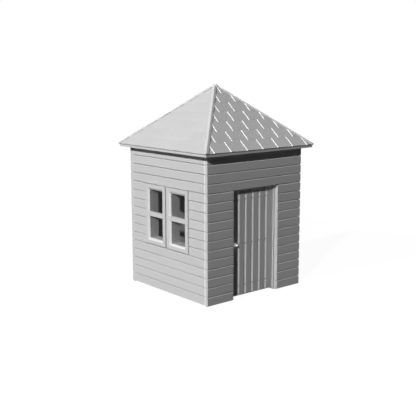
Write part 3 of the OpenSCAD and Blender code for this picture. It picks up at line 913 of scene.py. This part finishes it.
frame_screws, door_screws = [], []
for n, height in enumerate(HINGE_ZS):
    four = rows_of(screw_head(SCREW_R), 2, 2, (SCREW_COLUMNS, 0, 0), (0, 0, SCREW_ROWS), 50 + n,
                   stagger=(SCREW_SHIFT, 0, 0), face=ZINC_STEEL)
    moved(four, SCREW_START, 0, -SCREW_ROWS / 2)
    frame_screws.append(moved(about_z(four.copy(), -QUARTER), FRAME_PLATES[1].x - PLATE_T,
                              FRAME_PLATES[1].y - FRAME_SCREWS_IN, height))
    door_screws.append(moved(about_z(four, 2 * QUARTER), DOOR_PLATES[0].x + DOOR_SCREWS_IN,
                             LEAF_HIGH.y + PLATE_T, height))
piece("hinge_frame_screws", joined(frame_screws), "booth", "hinge_steel", (ZINC_STEEL,))
piece("hinge_door_screws", joined(door_screws), "door", "hinge_steel", (ZINC_STEEL,))


def hinge_pin():
    """A hinge pin with a button head, drawn along Y from its foot."""
    top = HINGE_H + PIN_CLEAR
    line = [(0.0, 0.0), (0.0, PIN_R - 0.6 * MM), (0.6 * MM, PIN_R), (top, PIN_R), (top, PIN_HEAD_R),
            (top + 1.2 * MM, PIN_HEAD_R), (top + 2.3 * MM, 0.75 * PIN_HEAD_R), (top + 2.9 * MM, 0.0)]
    return turned(line, ORIGIN, 24)


pins = []
for height in HINGE_ZS:
    pin = mesh_of(hinge_pin())
    pin.transform(Matrix.Rotation(QUARTER, 4, "X"))
    pins.append(grained(moved(pin, PIN_X, PIN_Y, height - HINGE_H / 2), Z, Y, 0.0))
piece("hinge_pins_turned", joined(pins), "booth", "hinge_steel", (ZINC_STEEL,), "hinge_pins")


# ---- windows, drawn in a wall that faces -Y ----

def casing_board(centre, low, high, inner_side, tone):
    """One board of a casing, mitred at both ends. Inner_side is the direction of the opening, in x and z."""
    # The face that the left wall has at its lowest x lies at the same y while the wall faces -Y
    bm = block((low[0], CASING_LOW.x, low[1]), (high[0], -HALF, high[1]))
    x, z = centre
    inner = Vector((inner_side[0], 0, inner_side[1]))
    # The bevel falls 45 degrees from the face to the opening, and takes the paler paint, painted light on
    # the bevel
    rim = Vector((x - inner.x * WINDOW_HALF_W, -HALF, z - inner.z * WINDOW_HALF_H))
    shave(bm, rim, (inner.x, -1, inner.z), PALE)
    # The mitres run from the corners of the opening to the corners of the casing
    for side in (-1, 1):
        if inner.x:
            corner = Vector((x - inner.x * WINDOW_HALF_W, 0, z + side * WINDOW_HALF_H))
            across = Vector((inner.x * CASING_END, 0, side * CASING_SIDE))
        else:
            corner = Vector((x + side * WINDOW_HALF_W, 0, z - inner.z * WINDOW_HALF_H))
            across = Vector((side * CASING_END, 0, inner.z * CASING_SIDE))
        shave(bm, corner - across.normalized() * JOINT, across)
    ease(bm, THIN_ARRIS, 1)
    return mesh_of(bm, Z if inner.x else X, -Y, tone)


def window_casings(turn, seed):
    """Both windows' casings in one side wall."""
    draw = random.Random(seed)
    boards = []
    z, out_x, out_z = WINDOW_MIDDLE, WINDOW_HALF_W + CASING_SIDE, WINDOW_HALF_H + CASING_END
    for x in (-WINDOW_Y, WINDOW_Y):
        for side in (-1, 1):
            near, far = x + side * WINDOW_HALF_W, x + side * out_x
            low, high = (min(near, far), z - out_z), (max(near, far), z + out_z)
            boards.append(casing_board((x, z), low, high, (-side, 0), draw.uniform(-1, 1)))
            near, far = z + side * WINDOW_HALF_H, z + side * out_z
            low, high = (x - out_x, min(near, far)), (x + out_x, max(near, far))
            boards.append(casing_board((x, z), low, high, (0, -side), draw.uniform(-1, 1)))
    return about_z(joined(boards), turn)


for wall, seed in (("left", 71), ("right", 72)):
    node = wall + "_window_casings"
    piece(node + "_mitred", window_casings(TURNS[wall], seed), "booth", "painted_trim",
          (TRIM_PAINT, CASING_PAINTED_LIGHT), node)
    rounded(wall + "_window_rails", "_sanded", THIN_ARRIS, Y, X, 0.1, "booth", "painted_trim", TRIM_PAINT)


# ---- eaves ----

for node, run, face in (("fascia_front_back", X, Y), ("fascia_sides", Y, X),
                        ("soffit_front_back", X, Z), ("soffit_sides", Y, Z)):
    rounded(node, "_sanded", THIN_ARRIS, run, face, 0.2, "booth", "painted_trim", TRIM_PAINT)


# ---- roof ----

def tile_shape(run, drop):
    """One tile on the flat: x along the eave, y up the slope, z out of it. It is thickest at its left side,
    which is sawn to a slope and stands above the last tile, and its head is a little lower than its foot."""
    bm = block((0, 0, -TILE_T), (TILE_W - JOINT, COURSE - JOINT, 0))
    if drop:
        shave(bm, (TILE_EASE, run, 0), (TILE_STEP / (TILE_W - TILE_EASE), -drop / run, 1))
    shave(bm, (TILE_EASE, 0, 0), (TILE_STEP / (TILE_W - TILE_EASE), TILE_SINK / COURSE, 1))
    # The riser takes the paler coat, painted light along each joint
    shave(bm, (TILE_EASE, 0, 0), (-TILE_STEP, 0, TILE_EASE), PALE)
    return mesh_of(bm, Y, Z)


def cut_on_hips(bm):
    """Takes away what lies past the two hips beside the front slope."""
    for side in (-1, 1):
        shave(bm, (0, -HIP_JOINT, 0), (side, 1, 0))
    return bm


def slope_tiles(seed):
    """The tiles of the front slope, cut on both hips."""
    count = TILES_WIDE + 2
    lowest = rows_of(tile_shape(0, 0), count, 1, (TILE_W, 0, 0), (0, COURSE, 0), seed,
                     face=TILE_COAT, edge=TILE_RISER_PAINTED_LIGHT)
    others = rows_of(tile_shape(FOOT_RUN, FOOT_DROP), count, COURSES - 1, (TILE_W, 0, 0), (0, COURSE, 0),
                     seed + 50, stagger=(-TILE_W / 2, 0, 0), face=TILE_COAT, edge=TILE_RISER_PAINTED_LIGHT)
    tiles = joined([lowest, moved(others, TILE_W / 2, COURSE, 0)])
    moved(tiles, -(TILES_WIDE // 2 + 1) * TILE_W - TILE_W, 0, 0).transform(Matrix.Rotation(PITCH, 4, "X"))
    moved(tiles, 0, -EAVE, EAVE_Z)
    bm = bmesh.new()
    bm.from_mesh(tiles)
    cut_on_hips(bm).to_mesh(tiles)
    bm.free()
    return tiles


def slope_deck():
    """The deck under the front slope's tiles, seated on the soffit and cut on both hips."""
    rise = math.tan(PITCH)
    under = EAVE_Z - TILE_T / math.cos(PITCH) - DECK_SINK
    seat = SOFFIT_EDGE - SEAT
    outline = [(SOFFIT_EDGE, under + (EAVE - SOFFIT_EDGE) * rise), (SOFFIT_EDGE, SOFFIT_TOP),
               (seat, SOFFIT_TOP),
               (HIP_JOINT, SOFFIT_TOP + (seat - HIP_JOINT) * rise),
               (HIP_JOINT, under + (EAVE - HIP_JOINT) * rise)]
    bm = bmesh.new()
    ends = [[bm.verts.new((x, -out, z)) for out, z in outline] for x in (-EAVE, EAVE)]
    for i in range(len(outline)):
        j = (i + 1) % len(outline)
        bm.faces.new((ends[0][i], ends[0][j], ends[1][j], ends[1][i]))
    bm.faces.new(ends[0])
    bm.faces.new(ends[1][::-1])
    bmesh.ops.recalc_face_normals(bm, faces=bm.faces)
    return mesh_of(cut_on_hips(bm), X, Z)


for wall, seed in (("front", 101), ("back", 102), ("left", 103), ("right", 104)):
    node = "roof_" + wall
    for name, mesh, finishes in (("_tiles", slope_tiles(seed), (TILE_COAT, TILE_RISER_PAINTED_LIGHT)),
                                 ("_deck", slope_deck(), (TILE_COAT,))):
        piece(node + name, about_z(mesh, TURNS[wall]), "booth", "roof_tiles", finishes, node)


def hip_caps():
    """The four hip caps, with each long edge planed down to the tiles from a narrow flat at the middle."""
    fall = Vector((1, 1, -math.tan(PITCH))).normalized()
    across = Vector((1, -1, 0)).normalized()
    proud = across.cross(fall)
    proud *= math.copysign(1, proud.z)
    whole = bmesh.new()
    for turn in range(4):
        cap = bmesh.new()
        cap.from_mesh(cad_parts["hip_caps"].data)
        spin = Matrix.Rotation(turn * QUARTER, 3, "Z")
        middle = spin @ Vector((1, 1, 0))
        others = [f for f in cap.faces if f.calc_center_median().x * middle.x < 0
                  or f.calc_center_median().y * middle.y < 0]
        bmesh.ops.delete(cap, geom=others, context="FACES")
        bmesh.ops.remove_doubles(cap, verts=cap.verts, dist=NEAR)
        for side in (-1, 1):
            slope = across * side * CAP_SLOPE[1] + proud * CAP_SLOPE[0]
            point = Vector((0, 0, APEX_Z)) + across * side * CAP_FLAT / 2 + proud * CAP_RISE
            shave(cap, spin @ point, spin @ slope)
        bmesh.ops.dissolve_limit(cap, angle_limit=FLAT, verts=cap.verts, edges=cap.edges)
        ease(cap, CAP_ARRIS, 1)
        part = bpy.data.meshes.new("cap")
        cap.to_mesh(part)
        cap.free()
        whole.from_mesh(part)
        bpy.data.meshes.remove(part)
    return mesh_of(plain(whole), X, Z, 0.4)


def along_hips(mesh):
    """Turns the grain of the hip caps down each hip."""
    grain = mesh.attributes["grain"]
    places = []
    for v in mesh.vertices:
        places += [math.hypot(v.co.x, v.co.y), abs(v.co.x) - abs(v.co.y), v.co.z]
    grain.data.foreach_set("vector", places)
    return mesh


# The caps carry the paler paint, painted light on the hips
piece("hip_caps_planed", along_hips(hip_caps()), "booth", "painted_trim", (CAP_PAINT_WITH_PAINTED_LIGHT,), "hip_caps")
rounded("apex_cap", "_sanded", CAP_ARRIS, X, Z, 0.4, "booth", "painted_trim", CAP_PAINT_WITH_PAINTED_LIGHT)


# ---- floor, light and camera ----

def mirror_ray(tree, path):
    """1 on rays thrown by a mirror or bent by glass."""
    return reckon(tree, "MAXIMUM", path["Is Glossy Ray"], path["Is Transmission Ray"])


def studio_floor():
    """A plain pale floor. Cameras see it near white with the booth's soft shadow, mirrors and glass see it
    white, and it throws only a little light back up at the booth."""
    material, tree = material_tree("plain_pale_floor")
    path = add(tree, "ShaderNodeLightPath").outputs
    dim = add(tree, "ShaderNodeBsdfDiffuse", {"Color": linear("#383838")})
    lit = add(tree, "ShaderNodeBsdfDiffuse", {"Color": linear("#606060")})
    glow = add(tree, "ShaderNodeEmission", {"Color": linear("#ffffff"), "Strength": 0.95})
    shown = add(tree, "ShaderNodeAddShader", {0: lit.outputs[0], 1: glow.outputs[0]})
    white = add(tree, "ShaderNodeEmission", {"Color": linear("#ffffff"), "Strength": 1.0})
    seen = add(tree, "ShaderNodeMixShader", {0: path["Is Camera Ray"], 1: dim.outputs[0],
                                             2: shown.outputs[0]})
    surface = add(tree, "ShaderNodeMixShader", {0: mirror_ray(tree, path), 1: seen.outputs[0],
                                                2: white.outputs[0]})
    add(tree, "ShaderNodeOutputMaterial", {"Surface": surface.outputs[0]})
    return material


def studio_world():
    """White to cameras and mirrors, and nearly dark to all else, so that the lamps alone light the booth."""
    world = bpy.data.worlds.new("studio")
    world.use_nodes = True
    tree = world.node_tree
    tree.nodes.clear()
    path = add(tree, "ShaderNodeLightPath").outputs
    plain = reckon(tree, "MAXIMUM", path["Is Camera Ray"], mirror_ray(tree, path))
    sky = add(tree, "ShaderNodeBackground", {"Color": linear("#ffffff"),
                                             "Strength": ranged(tree, plain, 0.012, 1.0)})
    add(tree, "ShaderNodeOutputWorld", {"Surface": sky.outputs[0]})
    return world


bm = bmesh.new()
bmesh.ops.create_grid(bm, x_segments=1, y_segments=1, size=FLOOR_REACH)
floor_mesh = bpy.data.meshes.new("studio_floor")
bm.to_mesh(floor_mesh)
bm.free()
floor_mesh.materials.append(studio_floor())
placed("studio_floor", floor_mesh)
bpy.context.scene.world = studio_world()

for name, (direction, strength, width) in LAMPS.items():
    lamp = bpy.data.lights.new(name, "SUN")
    lamp.energy = strength
    lamp.angle = math.radians(width)
    holder = placed(name, lamp)
    holder.rotation_euler = Vector(direction).to_track_quat("Z", "Y").to_euler()
    holder.location = Vector(direction) * LAMP_AWAY

camera = bpy.data.cameras.new("camera")
camera.lens = LENS
camera.sensor_width = SENSOR
camera.clip_end = SIGHT
viewer = placed("camera", camera)
viewer.matrix_world = (Matrix.Translation(EYE)
                       @ Matrix((RIGHTWARD, UPWARD, -FORWARD)).transposed().to_4x4())
bpy.context.scene.camera = viewer
bpy.context.scene.view_settings.view_transform = "Standard"
